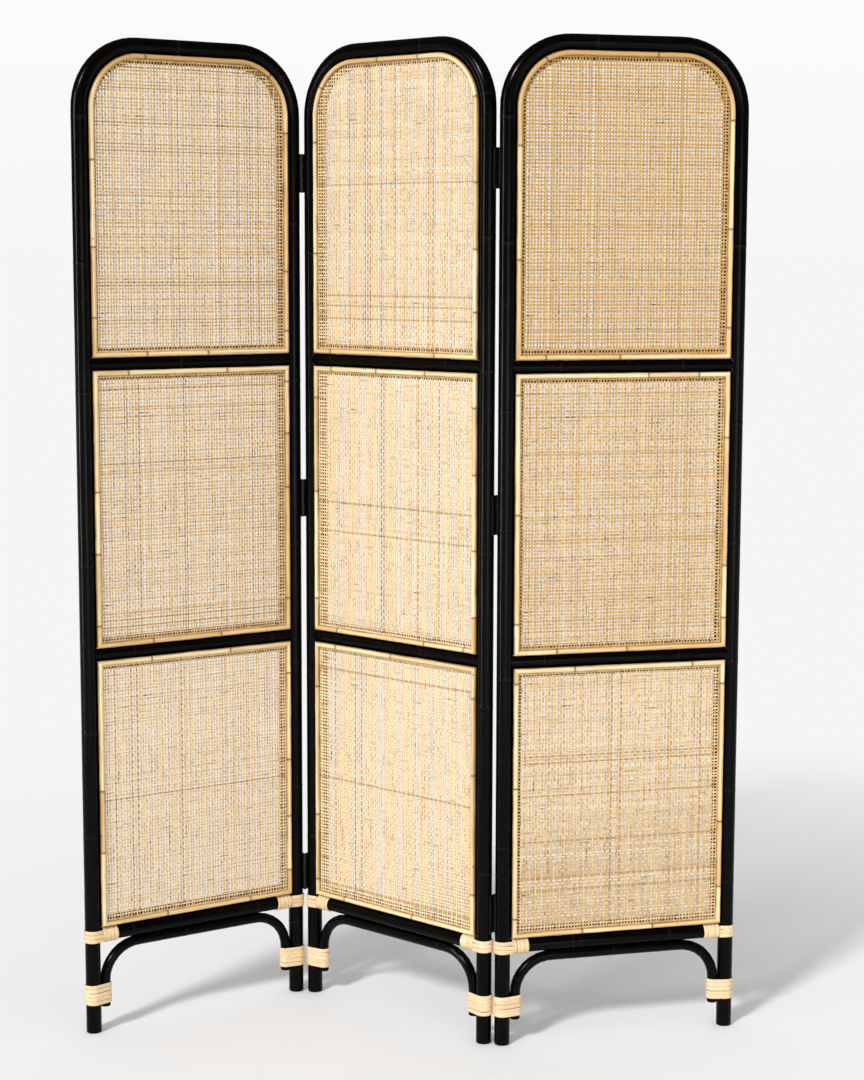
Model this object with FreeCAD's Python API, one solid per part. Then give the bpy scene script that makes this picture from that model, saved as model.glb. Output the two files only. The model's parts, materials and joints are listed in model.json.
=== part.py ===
import FreeCAD, Part
import math
import os
from collections import namedtuple

from FreeCAD import Vector

# Folding screen: three bent-pole rattan panels, hinged edge to edge and filled with woven cane.
# Millimetres, +Z up. A panel is drawn in its own frame, with X from post to post, its front towards -Y and
# the floor at Z = 0. The three are then turned and set hinge to hinge, with the origin on the floor under
# the middle of the whole screen.

# Poles, bars and arch
POLE_DIAMETER = 28.0
POST_SPACING = 425.0  # between the axes of a panel's two posts
PANEL_HEIGHT = 1780.0
TOP_BEND_RADIUS = 112.0  # at the pole's axis
BAR_DIAMETER = 22.0
RAIL_DIAMETER = 26.0
RAIL_HEIGHT = 180.0  # floor to axis
LOWER_BAR_HEIGHT = 695.0  # floor to axis
UPPER_BAR_DROP = 568.0  # panel top to axis
ARCH_DIAMETER = 19.0
ARCH_BEND_RADIUS = 66.0  # at the arch's axis
ARCH_LEG_TAIL = 8.0  # leg below the foot binding
END_ROUNDING = 2.0  # on the cut ends of poles
SEAT_CLEARANCE = 0.1  # between pieces that bear on each other

# Cane and the rods that hold it
CANE_THICKNESS = 2.2  # both layers of strands
CANE_MARGIN = 2.5  # edge of the opening to edge of the cane
CANE_BORDER = 8.5  # edge of the opening to the ends of the gaps between strands, under the trim
UPRIGHT_PITCH = 5.6
UPRIGHT_WIDTH = 2.6
LEVEL_PITCH = 6.0
LEVEL_WIDTH = 2.8
BACKING_DIAMETER = 18.0
BACKING_SETBACK = 3.0  # rod axis behind the plane of the pole axes
TRIM_WIDTH = 10.0
TRIM_THICKNESS = 6.0
TRIM_SHOULDER = 1.0  # straight side of the half-round section
TRIM_MARGIN = 0.3  # edge of the opening to edge of the trim

# Bindings of rattan peel
PEEL_WIDTH = 7.4
PEEL_THICKNESS = 2.0
PEEL_CROWN = 0.7  # how far the middle of a turn stands proud of its edges
POST_TURNS = 3
RAIL_TURNS = 4
FOOT_TURNS = 5
FOOT_BINDING_DROP = 1.4  # below the start of the arch's bend

# Screws through posts and arch
FRAME_SCREW_SHANK = 4.5
FRAME_SCREW_HEAD = 8.0
FRAME_SCREW_LENGTH = 50.0
FRAME_SCREW_RECESS = 0.8  # head below the pole's surface
ARCH_SCREW_LENGTH = 32.0
ARCH_SCREW_SPACING = 160.0
SCREW_CLEARANCE = 0.1
SCREW_POINT = 4.0  # length of the taper at the tip

# Hinges
HINGE_OVER_BINDING = 11.0  # post binding to the end of the lowest hinge
HINGE_UNDER_BEND = 67.0  # start of the top bend to the end of the highest hinge
HINGE_LENGTH = 70.0
LEAF_WIDTH = 19.0  # pin axis to the leaf's free edge
LEAF_THICKNESS = 1.2
LEAF_SEAT_DEPTH = 1.5  # flat planed into the post under a leaf
PIN_DIAMETER = 2.6
PIN_CLEARANCE = 0.05
KNUCKLE_GAP = 0.3  # between knuckles, and round a knuckle in the other leaf's notch
HINGE_SCREW_SHANK = 3.0
HINGE_SCREW_HEAD = 5.6
HINGE_SCREW_LENGTH = 16.0
HINGE_SCREW_SPACING = 24.0

# How the panels stand and fold
LEFT_YAW = 33.66  # turn of each panel from the X axis, degrees
MIDDLE_YAW = -41.71
RIGHT_YAW = 14.52
OPEN_FOLD = 54.0  # smallest fold between two panels, where their bindings nearly meet
OPEN_GAP = 1.0  # left between the bindings there
FOLDED_GAP = 2.0  # left between the bindings of two panels folded flat

POLE_RADIUS = POLE_DIAMETER / 2
BAR_RADIUS = BAR_DIAMETER / 2
RAIL_RADIUS = RAIL_DIAMETER / 2
ARCH_RADIUS = ARCH_DIAMETER / 2
HALF_SPACING = POST_SPACING / 2
UPPER_BAR_HEIGHT = PANEL_HEIGHT - UPPER_BAR_DROP
LEG_OFFSET = POLE_RADIUS + ARCH_RADIUS + SEAT_CLEARANCE  # post axis to arch leg axis
ARCH_TOP = RAIL_HEIGHT - RAIL_RADIUS - SEAT_CLEARANCE - ARCH_RADIUS
BINDING_RADIUS = max(POLE_RADIUS, RAIL_RADIUS) + SEAT_CLEARANCE  # inside of the turns on a post
BINDING_REACH = BINDING_RADIUS + PEEL_THICKNESS
POST_BINDING_HALF = POST_TURNS * PEEL_WIDTH / 2
FOOT_BINDING_TOP = ARCH_TOP - ARCH_BEND_RADIUS - FOOT_BINDING_DROP
FOOT_BINDING_BOTTOM = FOOT_BINDING_TOP - FOOT_TURNS * PEEL_WIDTH
ARCH_LEG_BOTTOM = FOOT_BINDING_BOTTOM - ARCH_LEG_TAIL

# Depths of the layers, front to back
BACKING_FRONT = BACKING_SETBACK - BACKING_DIAMETER / 2
CANE_BACK = BACKING_FRONT - SEAT_CLEARANCE
CANE_FRONT = CANE_BACK - CANE_THICKNESS
TRIM_BACK = CANE_FRONT - SEAT_CLEARANCE
STRAND_THICKNESS = (CANE_THICKNESS - SEAT_CLEARANCE) / 2

# Middles of the hinges: over the rail, between the two bars, and under the top bend
HINGE_HEIGHTS = (
    RAIL_HEIGHT + POST_BINDING_HALF + HINGE_OVER_BINDING + HINGE_LENGTH / 2,
    (LOWER_BAR_HEIGHT + UPPER_BAR_HEIGHT) / 2,
    PANEL_HEIGHT - POLE_RADIUS - TOP_BEND_RADIUS - HINGE_UNDER_BEND - HINGE_LENGTH / 2,
)

# The pin stands off the post so that the panels fold flat, and so that they open to OPEN_FOLD
PIN_STANDOFF = BINDING_REACH + FOLDED_GAP / 2  # across the panel
HALF_OPEN = math.radians(OPEN_FOLD / 2)
PIN_OUTREACH = (BINDING_REACH + OPEN_GAP / 2 - PIN_STANDOFF * math.sin(HALF_OPEN)) / math.cos(HALF_OPEN)

# A leaf lies on its flat at LEAF_SEAT from the post's axis, turned by LEAF_TURN to meet the pin
BORE_RADIUS = PIN_DIAMETER / 2 + PIN_CLEARANCE
KNUCKLE_RADIUS = BORE_RADIUS + LEAF_THICKNESS
LEAF_SEAT = POLE_RADIUS - LEAF_SEAT_DEPTH
PIN_DEPTH = LEAF_SEAT + KNUCKLE_RADIUS  # pin axis from the post's axis, square to the leaf
PIN_ALONG = math.sqrt(PIN_OUTREACH**2 + PIN_STANDOFF**2 - PIN_DEPTH**2)  # and along the leaf
LEAF_TURN = math.degrees(math.atan2(PIN_STANDOFF, PIN_OUTREACH) - math.atan2(PIN_ALONG, PIN_DEPTH))

X_AXIS = Vector(1, 0, 0)
Y_AXIS = Vector(0, 1, 0)
Z_AXIS = Vector(0, 0, 1)
FRONT = -1
BACK = 1
FULL_TURN = 360.0
SAME_PLACE = 1e-6

# Space inside the poles and bars that a framed piece of cane fills. corner is the radius at the top.
Opening = namedtuple("Opening", "half_width bottom top corner")


def polyline(points):
    return Part.makePolygon(list(points) + [points[0]])


def hoop_path(half_width, bottom, top, radius):
    """Up the left side, round a bend, across the top, round a bend and down the right side."""
    spring = top - radius
    flat = half_width - radius
    cut = radius * (1 - math.sqrt(0.5))
    left_foot = Vector(-half_width, 0, bottom)
    left_spring = Vector(-half_width, 0, spring)
    left_top = Vector(-flat, 0, top)
    right_top = Vector(flat, 0, top)
    right_spring = Vector(half_width, 0, spring)
    right_foot = Vector(half_width, 0, bottom)
    return Part.Wire([
        Part.LineSegment(left_foot, left_spring).toShape(),
        Part.Arc(left_spring, Vector(-half_width + cut, 0, top - cut), left_top).toShape(),
        Part.LineSegment(left_top, right_top).toShape(),
        Part.Arc(right_top, Vector(half_width - cut, 0, top - cut), right_spring).toShape(),
        Part.LineSegment(right_spring, right_foot).toShape(),
    ])


def bent_rod(half_width, bottom, top, bend_radius, radius):
    """A round pole bent into a hoop, its two cut ends eased."""
    path = hoop_path(half_width, bottom, top, bend_radius)
    section = Part.Wire(Part.makeCircle(radius, Vector(-half_width, 0, bottom), Z_AXIS))
    rod = path.makePipeShell([section], True, False)
    rims = [edge for edge in rod.Edges if abs(edge.CenterOfMass.z - bottom) < SAME_PLACE]
    return rod.makeFillet(END_ROUNDING, rims)


def screw(length, shank, head, clearance=0.0):
    """A countersunk screw, head up at the origin, point down. clearance makes it the tool for its hole."""
    head_radius = head / 2 + clearance
    shank_radius = shank / 2 + clearance
    neck = head_radius - shank_radius
    tip = length + clearance
    profile = polyline([
        Vector(0, 0, 0),
        Vector(head_radius, 0, 0),
        Vector(shank_radius, 0, -neck),
        Vector(shank_radius, 0, SCREW_POINT - tip),
        Vector(0, 0, -tip),
    ])
    return Part.Face(profile).revolve(Vector(), Z_AXIS, FULL_TURN)


def hole_for(length, shank, head, depth):
    """The hole for a screw whose head lies depth below the surface."""
    opening = Part.makeCylinder(head / 2 + SCREW_CLEARANCE, depth)
    return screw(length, shank, head, SCREW_CLEARANCE).fuse(opening)


def each_frame_screw(make_post_piece, make_arch_piece):
    """Puts a piece at every frame screw: through each post into a bar, and up the arch into the rail."""
    placed = []
    for side in (-1, 1):
        for height in (RAIL_HEIGHT, LOWER_BAR_HEIGHT, UPPER_BAR_HEIGHT):
            piece = make_post_piece()
            piece.rotate(Vector(), Y_AXIS, side * 90)
            piece.translate(Vector(side * (HALF_SPACING + POLE_RADIUS - FRAME_SCREW_RECESS), 0, height))
            placed.append(piece)
        piece = make_arch_piece()
        piece.rotate(Vector(), X_AXIS, 180)
        under_arch = ARCH_TOP - ARCH_RADIUS + FRAME_SCREW_RECESS
        piece.translate(Vector(side * ARCH_SCREW_SPACING / 2, 0, under_arch))
        placed.append(piece)
    return placed


def frame_screws():
    return each_frame_screw(
        lambda: screw(FRAME_SCREW_LENGTH, FRAME_SCREW_SHANK, FRAME_SCREW_HEAD),
        lambda: screw(ARCH_SCREW_LENGTH, FRAME_SCREW_SHANK, FRAME_SCREW_HEAD),
    )


def frame_screw_holes():
    depth = FRAME_SCREW_RECESS + SCREW_CLEARANCE
    return each_frame_screw(
        lambda: hole_for(FRAME_SCREW_LENGTH, FRAME_SCREW_SHANK, FRAME_SCREW_HEAD, depth),
        lambda: hole_for(ARCH_SCREW_LENGTH, FRAME_SCREW_SHANK, FRAME_SCREW_HEAD, depth),
    )


def at_post(shape, side, face):
    """Moves what was drawn for a right-hand post, hinged in front, to any post, hinged front or back."""
    placed = shape.copy()
    if side < 0:
        placed = placed.mirror(Vector(), X_AXIS)
    if face == BACK:
        placed = placed.mirror(Vector(), Y_AXIS)
    placed.translate(Vector(side * HALF_SPACING, 0, 0))
    return placed


def on_leaf(shape, height):
    """Turns what was drawn square to a leaf into place on the post, with the hinge's middle at height."""
    placed = shape.copy()
    placed.rotate(Vector(), Z_AXIS, -LEAF_TURN)
    placed.translate(Vector(0, 0, height))
    return placed


def knuckle_spans(outer):
    """Heights of a leaf's knuckles: the two outer ones, or the one between them."""
    half = HINGE_LENGTH / 2
    third = HINGE_LENGTH / 6
    if outer:
        return [(-half, -third - KNUCKLE_GAP / 2), (third + KNUCKLE_GAP / 2, half)]
    return [(-third + KNUCKLE_GAP / 2, third - KNUCKLE_GAP / 2)]


def hinge_leaf(outer):
    """A leaf with its rolled knuckles, notched for the other leaf's, and countersunk for its screws."""
    plate = Part.makeBox(
        LEAF_THICKNESS, LEAF_WIDTH, HINGE_LENGTH, Vector(LEAF_SEAT, -PIN_ALONG, -HINGE_LENGTH / 2)
    )
    pin_axis = Vector(PIN_DEPTH, -PIN_ALONG, 0)
    notch_reach = KNUCKLE_RADIUS + KNUCKLE_GAP
    for low, high in knuckle_spans(not outer):
        room = high - low + 2 * KNUCKLE_GAP
        plate = plate.cut(Part.makeCylinder(notch_reach, room, pin_axis + Vector(0, 0, low - KNUCKLE_GAP)))
    rolls = [
        Part.makeCylinder(KNUCKLE_RADIUS, high - low, pin_axis + Vector(0, 0, low))
        for low, high in knuckle_spans(outer)
    ]
    leaf = plate.multiFuse(rolls)
    bore = Part.makeCylinder(BORE_RADIUS, HINGE_LENGTH, pin_axis - Vector(0, 0, HINGE_LENGTH / 2))
    leaf = leaf.cut(bore)
    for hole in hinge_screw_pieces(SCREW_CLEARANCE):
        leaf = leaf.cut(hole)
    return leaf.removeSplitter()


def hinge_screw_pieces(clearance=0.0):
    """The three screws of a leaf, heads flush with its face, square to it and through the post's axis."""
    pieces = []
    for step in (-1, 0, 1):
        piece = screw(HINGE_SCREW_LENGTH, HINGE_SCREW_SHANK, HINGE_SCREW_HEAD, clearance)
        piece.rotate(Vector(), Y_AXIS, 90)
        piece.translate(Vector(LEAF_SEAT + LEAF_THICKNESS, 0, step * HINGE_SCREW_SPACING))
        pieces.append(piece)
    return pieces


def leaf_seat():
    """What a hinge takes out of its post: the flat under the leaf and the holes for its screws."""
    length = HINGE_LENGTH + 2 * KNUCKLE_GAP
    flat = Part.makeBox(POLE_RADIUS, POLE_DIAMETER, length, Vector(LEAF_SEAT, -POLE_RADIUS, -length / 2))
    return flat.multiFuse(hinge_screw_pieces(SCREW_CLEARANCE))


def on_hinges(piece, side, face):
    """One copy of a leaf's piece at each of a post's three hinges."""
    return [at_post(on_leaf(piece, height), side, face) for height in HINGE_HEIGHTS]


def hinge_leaves(side, face, outer):
    return on_hinges(hinge_leaf(outer), side, face)


def hinge_screws(side, face):
    return [placed for piece in hinge_screw_pieces() for placed in on_hinges(piece, side, face)]


def hinge_pins(side, face):
    low = Vector(PIN_DEPTH, -PIN_ALONG, -HINGE_LENGTH / 2)
    return on_hinges(Part.makeCylinder(PIN_DIAMETER / 2, HINGE_LENGTH, low), side, face)


def pole(hinged_posts):
    """Both posts and the top in one bent pole, with flats for the hinges and holes for the screws."""
    rod = bent_rod(HALF_SPACING, 0, PANEL_HEIGHT - POLE_RADIUS, TOP_BEND_RADIUS, POLE_RADIUS)
    cuts = frame_screw_holes()
    for side, face in hinged_posts:
        cuts += on_hinges(leaf_seat(), side, face)
    return rod.cut(cuts)


def cross_bar(height, radius):
    """A bar between the posts, coped to fit round them."""
    bar = Part.makeCylinder(radius, POST_SPACING, Vector(-HALF_SPACING, 0, height), X_AXIS)
    posts = [
        Part.makeCylinder(
            POLE_RADIUS + SEAT_CLEARANCE, 2 * BAR_DIAMETER + 2 * RAIL_DIAMETER,
            Vector(side * HALF_SPACING, 0, height - BAR_DIAMETER - RAIL_DIAMETER),
        )
        for side in (-1, 1)
    ]
    return bar.cut(posts + frame_screw_holes())


def foot_arch():
    arch = bent_rod(HALF_SPACING - LEG_OFFSET, ARCH_LEG_BOTTOM, ARCH_TOP, ARCH_BEND_RADIUS, ARCH_RADIUS)
    return arch.cut(frame_screw_holes())


def openings():
    """The three framed spaces of a panel. The lowest stands clear of the bindings on the rail."""
    half_width = HALF_SPACING - POLE_RADIUS
    over_rail = RAIL_HEIGHT + RAIL_RADIUS + 2 * SEAT_CLEARANCE + PEEL_THICKNESS
    return {
        "upper": Opening(
            half_width, UPPER_BAR_HEIGHT + BAR_RADIUS, PANEL_HEIGHT - POLE_DIAMETER,
            TOP_BEND_RADIUS - POLE_RADIUS,
        ),
        "middle": Opening(
            half_width, LOWER_BAR_HEIGHT + BAR_RADIUS, UPPER_BAR_HEIGHT - BAR_RADIUS, 0,
        ),
        "lower": Opening(half_width, over_rail, LOWER_BAR_HEIGHT - BAR_RADIUS, 0),
    }


def trim_section(edge, inward):
    """Half-round section lying on the cane, beside the point edge of an opening's edge."""
    def point(across, depth):
        return edge + inward * across + Vector(0, depth, 0)

    outer = TRIM_MARGIN
    inner = TRIM_MARGIN + TRIM_WIDTH
    shoulder = TRIM_BACK - TRIM_SHOULDER
    crown = point((outer + inner) / 2, TRIM_BACK - TRIM_THICKNESS)
    return Part.Wire([
        Part.LineSegment(point(outer, TRIM_BACK), point(inner, TRIM_BACK)).toShape(),
        Part.LineSegment(point(inner, TRIM_BACK), point(inner, shoulder)).toShape(),
        Part.Arc(point(inner, shoulder), crown, point(outer, shoulder)).toShape(),
        Part.LineSegment(point(outer, shoulder), point(outer, TRIM_BACK)).toShape(),
    ])


def backing_section(edge, inward):
    """Round section bearing on the pole or bar beside the point edge of an opening's edge."""
    radius = BACKING_DIAMETER / 2
    middle = edge + inward * (radius + SEAT_CLEARANCE) + Vector(0, BACKING_SETBACK, 0)
    return Part.Wire(Part.makeCircle(radius, middle, inward.cross(Y_AXIS)))


def mitre_block(opening, level, upward):
    """The part of an opening that belongs to its bottom or top rod, between mitres at 45 degrees."""
    reach = TRIM_MARGIN + TRIM_WIDTH + SEAT_CLEARANCE + BACKING_DIAMETER
    wide = opening.half_width
    narrow = wide - reach
    depth = POLE_DIAMETER + BACKING_DIAMETER
    outline = polyline([
        Vector(-wide, -depth, level),
        Vector(wide, -depth, level),
        Vector(narrow, -depth, level + upward * reach),
        Vector(-narrow, -depth, level + upward * reach),
    ])
    return Part.Face(outline).extrude(Vector(0, 2 * depth, 0))


def edge_rods(opening, section):
    """Rods of one section round an opening, mitred where they meet. A round top is one bent rod."""
    left = Vector(-opening.half_width, 0, opening.bottom)
    right = Vector(opening.half_width, 0, opening.bottom)
    height = Vector(0, 0, opening.top - opening.bottom)
    bottom_block = mitre_block(opening, opening.bottom, 1)
    bottom_rod = Part.Face(section(left, Z_AXIS)).extrude(right - left).common(bottom_block)
    if opening.corner:
        path = hoop_path(opening.half_width, opening.bottom, opening.top, opening.corner)
        hoop = path.makePipeShell([section(left, X_AXIS)], True, False)
        return [bottom_rod, hoop.cut(bottom_block)]
    top_block = mitre_block(opening, opening.top, -1)
    top_rod = Part.Face(section(left + height, -Z_AXIS)).extrude(right - left).common(top_block)
    side_rods = [
        Part.Face(section(corner, inward)).extrude(height).cut([bottom_block, top_block])
        for corner, inward in ((left, X_AXIS), (right, -X_AXIS))
    ]
    return [bottom_rod, top_rod] + side_rods


def cane_outline(opening):
    half_width = opening.half_width - CANE_MARGIN
    bottom = opening.bottom + CANE_MARGIN
    top = opening.top - CANE_MARGIN
    if not opening.corner:
        return upright_rectangle(-half_width, half_width, bottom, top)
    hoop = hoop_path(half_width, bottom, top, opening.corner - CANE_MARGIN)
    hem = Part.LineSegment(Vector(half_width, 0, bottom), Vector(-half_width, 0, bottom)).toShape()
    return Part.Wire(hoop.Edges + [hem])


def upright_rectangle(left, right, bottom, top):
    return polyline([
        Vector(left, 0, bottom),
        Vector(right, 0, bottom),
        Vector(right, 0, top),
        Vector(left, 0, top),
    ])


def strand_gaps(low, high, border, pitch, width):
    """Gaps between even strands that fill low to high, apart from those in the border at either end."""
    count = round((high - low) / pitch)
    step = (high - low) / count
    lines = [low + step * line for line in range(1, count)]
    spans = [(line - (step - width) / 2, line + (step - width) / 2) for line in lines]
    return [(start, end) for start, end in spans if start >= low + border and end <= high - border]


def round_reach(opening, past):
    """How far a round corner of the border reaches beyond its middle, at a distance past that middle."""
    radius = opening.corner - CANE_BORDER
    return math.sqrt(radius**2 - past**2)


def upright_gaps(opening):
    half_width = opening.half_width - CANE_MARGIN
    bottom = opening.bottom + CANE_BORDER
    gaps = []
    for left, right in strand_gaps(
        -half_width, half_width, CANE_BORDER - CANE_MARGIN, UPRIGHT_PITCH, UPRIGHT_WIDTH
    ):
        past = max(-left, right) - opening.half_width + opening.corner
        top = opening.top - CANE_BORDER
        if opening.corner and past > 0:
            top = opening.top - opening.corner + round_reach(opening, past)
        gaps.append(upright_rectangle(left, right, bottom, top))
    return gaps


def level_gaps(opening):
    gaps = []
    for low, high in strand_gaps(
        opening.bottom + CANE_MARGIN, opening.top - CANE_MARGIN, CANE_BORDER - CANE_MARGIN, LEVEL_PITCH,
        LEVEL_WIDTH,
    ):
        past = high - opening.top + opening.corner
        reach = opening.half_width - CANE_BORDER
        if opening.corner and past > 0:
            reach = opening.half_width - opening.corner + round_reach(opening, past)
        gaps.append(upright_rectangle(-reach, reach, low, high))
    return gaps


def strand_layer(opening, gaps, front):
    """Strands side by side with long gaps between them, their ends held in a border under the trim."""
    layer = Part.makeFace([cane_outline(opening)] + gaps, "Part::FaceMakerBullseye")
    solid = layer.extrude(Vector(0, STRAND_THICKNESS, 0))
    solid.translate(Vector(0, front, 0))
    return solid


def cane(opening):
    """Open cane: level strands in front of upright ones, with the holes of the weave between them."""
    return [
        strand_layer(opening, level_gaps(opening), CANE_FRONT),
        strand_layer(opening, upright_gaps(opening), CANE_BACK - STRAND_THICKNESS),
    ]


def turns_section(turns, start, along, outward):
    """Section of a binding: flat inside, one crowned bulge outside for each turn of peel."""
    edge = PEEL_THICKNESS - PEEL_CROWN

    def point(step, out):
        return start + along * (step * PEEL_WIDTH) + outward * out

    bulges = [
        Part.Arc(point(turn, edge), point(turn + 0.5, PEEL_THICKNESS), point(turn + 1, edge)).toShape()
        for turn in range(turns)
    ]
    first = Part.LineSegment(point(0, 0), point(0, edge)).toShape()
    last = Part.LineSegment(point(turns, edge), point(turns, 0)).toShape()
    inside = Part.LineSegment(point(turns, 0), point(0, 0)).toShape()
    return Part.Wire([first] + bulges + [last, inside])


def post_binding():
    """Turns round the outside of a right-hand post, their ends carried along the rail."""
    radius = BINDING_RADIUS
    low = RAIL_HEIGHT - POST_BINDING_HALF
    rail_end = -POLE_RADIUS - PEEL_THICKNESS
    path = Part.Wire([
        Part.LineSegment(Vector(rail_end, -radius, low), Vector(0, -radius, low)).toShape(),
        Part.Arc(Vector(0, -radius, low), Vector(radius, 0, low), Vector(0, radius, low)).toShape(),
        Part.LineSegment(Vector(0, radius, low), Vector(rail_end, radius, low)).toShape(),
    ])
    section = turns_section(POST_TURNS, Vector(rail_end, -radius, low), Z_AXIS, -Y_AXIS)
    return path.makePipeShell([section], True, False)


def rail_binding():
    """Turns round the rail, beside the turns on a right-hand post."""
    start = Vector(-POLE_RADIUS - PEEL_THICKNESS - SEAT_CLEARANCE, 0, RAIL_HEIGHT)
    inside = Vector(0, 0, RAIL_RADIUS + SEAT_CLEARANCE)
    section = turns_section(RAIL_TURNS, start + inside, -X_AXIS, Z_AXIS)
    return Part.Face(section).revolve(start, X_AXIS, FULL_TURN)


def foot_binding():
    """Turns round a right-hand post and the arch's leg together, drawn straight from one to the other."""
    post_radius = POLE_RADIUS + SEAT_CLEARANCE
    leg_radius = ARCH_RADIUS + SEAT_CLEARANCE
    low = FOOT_BINDING_BOTTOM
    lean = (post_radius - leg_radius) / LEG_OFFSET  # cosine of the angle where the turns leave the round
    rise = math.sqrt(1 - lean**2)
    outer_side = Vector(post_radius, 0, low)
    inner_side = Vector(-LEG_OFFSET - leg_radius, 0, low)

    def touch(radius, offset, front):
        return Vector(offset - radius * lean, front * radius * rise, low)

    post_front = touch(post_radius, 0, -1)
    post_back = touch(post_radius, 0, 1)
    leg_front = touch(leg_radius, -LEG_OFFSET, -1)
    leg_back = touch(leg_radius, -LEG_OFFSET, 1)
    path = Part.Wire([
        Part.Arc(outer_side, Vector(0, post_radius, low), post_back).toShape(),
        Part.LineSegment(post_back, leg_back).toShape(),
        Part.Arc(leg_back, inner_side, leg_front).toShape(),
        Part.LineSegment(leg_front, post_front).toShape(),
        Part.Arc(post_front, Vector(0, -post_radius, low), outer_side).toShape(),
    ])
    section = turns_section(FOOT_TURNS, outer_side, Z_AXIS, X_AXIS)
    return path.makePipeShell([section], True, False)


def at_both_posts(*pieces):
    return [at_post(piece, side, FRONT) for side in (-1, 1) for piece in pieces]


def panel(hinged_posts):
    """Every piece of one panel, in the panel's own frame."""
    pieces = {
        "pole": [pole(hinged_posts)],
        "upper_bar": [cross_bar(UPPER_BAR_HEIGHT, BAR_RADIUS)],
        "lower_bar": [cross_bar(LOWER_BAR_HEIGHT, BAR_RADIUS)],
        "bottom_rail": [cross_bar(RAIL_HEIGHT, RAIL_RADIUS)],
        "foot_arch": [foot_arch()],
        "rail_bindings": at_both_posts(post_binding(), rail_binding()),
        "foot_bindings": at_both_posts(foot_binding()),
        "frame_screws": frame_screws(),
    }
    for name, opening in openings().items():
        pieces[name + "_cane"] = cane(opening)
        pieces[name + "_backing"] = edge_rods(opening, backing_section)
        pieces[name + "_trim"] = edge_rods(opening, trim_section)
    return pieces


def turned(point, yaw):
    return FreeCAD.Rotation(Z_AXIS, yaw).multVec(point)


def pin_at(side, face):
    """A hinge's pin in the panel's own frame, at floor level."""
    return Vector(side * (HALF_SPACING + PIN_OUTREACH), face * PIN_STANDOFF, 0)


def stance():
    """Yaw and middle of each panel: neighbours share a pin, and the screen's box is centred on the origin."""
    yaws = {"left": LEFT_YAW, "middle": MIDDLE_YAW, "right": RIGHT_YAW}
    middle = Vector()
    left_pin = turned(pin_at(-1, FRONT), MIDDLE_YAW)
    right_pin = turned(pin_at(1, BACK), MIDDLE_YAW)
    middles = {
        "left": left_pin - turned(pin_at(1, FRONT), LEFT_YAW),
        "middle": middle,
        "right": right_pin - turned(pin_at(-1, BACK), RIGHT_YAW),
    }
    posts = [
        middles[name] + turned(Vector(side * HALF_SPACING, 0, 0), yaw)
        for name, yaw in yaws.items()
        for side in (-1, 1)
    ]
    across = [post.x for post in posts]
    deep = [post.y for post in posts]
    centre = Vector((min(across) + max(across)) / 2, (min(deep) + max(deep)) / 2, 0)
    print("left hinge axis", left_pin - centre)
    print("right hinge axis", right_pin - centre)
    return {name: (yaw, middles[name] - centre) for name, yaw in yaws.items()}


def screen():
    """Node name to its solids, in the screen's frame."""
    panels = {
        "left": panel([(1, FRONT)]),
        "middle": panel([(-1, FRONT), (1, BACK)]),
        "right": panel([(-1, BACK)]),
    }
    panels["left"]["hinge_leaves"] = hinge_leaves(1, FRONT, True)
    panels["left"]["hinge_screws"] = hinge_screws(1, FRONT)
    panels["left"]["hinge_pins"] = hinge_pins(1, FRONT)
    panels["middle"]["left_hinge_leaves"] = hinge_leaves(-1, FRONT, False)
    panels["middle"]["right_hinge_leaves"] = hinge_leaves(1, BACK, False)
    panels["middle"]["hinge_screws"] = hinge_screws(-1, FRONT) + hinge_screws(1, BACK)
    panels["right"]["hinge_leaves"] = hinge_leaves(-1, BACK, True)
    panels["right"]["hinge_screws"] = hinge_screws(-1, BACK)
    panels["right"]["hinge_pins"] = hinge_pins(-1, BACK)
    nodes = {}
    for name, (yaw, middle) in stance().items():
        for piece, solids in panels[name].items():
            shape = solids[0] if len(solids) == 1 else Part.makeCompound(solids)
            shape.rotate(Vector(), Z_AXIS, yaw)
            shape.translate(middle)
            nodes[name + "_" + piece] = shape
    return nodes


os.makedirs("parts", exist_ok=True)
for node, shape in screen().items():
    shape.exportStep("parts/" + node + ".step")
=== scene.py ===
import json
import math
import bpy
import numpy as np
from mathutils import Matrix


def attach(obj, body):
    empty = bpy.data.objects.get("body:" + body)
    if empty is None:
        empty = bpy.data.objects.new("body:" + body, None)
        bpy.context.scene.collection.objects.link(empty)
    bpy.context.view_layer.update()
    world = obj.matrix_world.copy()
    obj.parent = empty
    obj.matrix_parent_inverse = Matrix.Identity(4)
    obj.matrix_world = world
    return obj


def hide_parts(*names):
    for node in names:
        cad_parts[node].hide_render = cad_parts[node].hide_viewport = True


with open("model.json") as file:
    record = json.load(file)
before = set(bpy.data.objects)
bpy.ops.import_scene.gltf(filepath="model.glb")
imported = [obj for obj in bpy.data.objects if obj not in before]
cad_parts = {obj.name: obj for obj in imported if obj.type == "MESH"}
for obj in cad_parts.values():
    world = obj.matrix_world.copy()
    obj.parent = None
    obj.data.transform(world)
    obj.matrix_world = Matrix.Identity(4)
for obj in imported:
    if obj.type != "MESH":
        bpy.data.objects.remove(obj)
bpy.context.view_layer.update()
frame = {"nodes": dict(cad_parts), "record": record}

print("frame loaded")

# One panel as built, in millimetres: x from post to post, its front towards -y, z up from the floor
panelSizes = {
    "halfSpacing": 212.5,
    "poleRadius": 14.0,
    "poleTop": 1766.0,
    "poleBend": 112.0,
    "barRadius": 11.0,
    "lowerBar": 695.0,
    "upperBar": 1212.0,
    "railRadius": 13.0,
    "rail": 180.0,
    "peelClear": 2.2,
    "archRadius": 9.5,
    "archBend": 66.0,
    "archFoot": 45.0,
    "seatGap": 0.1,
}

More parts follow.
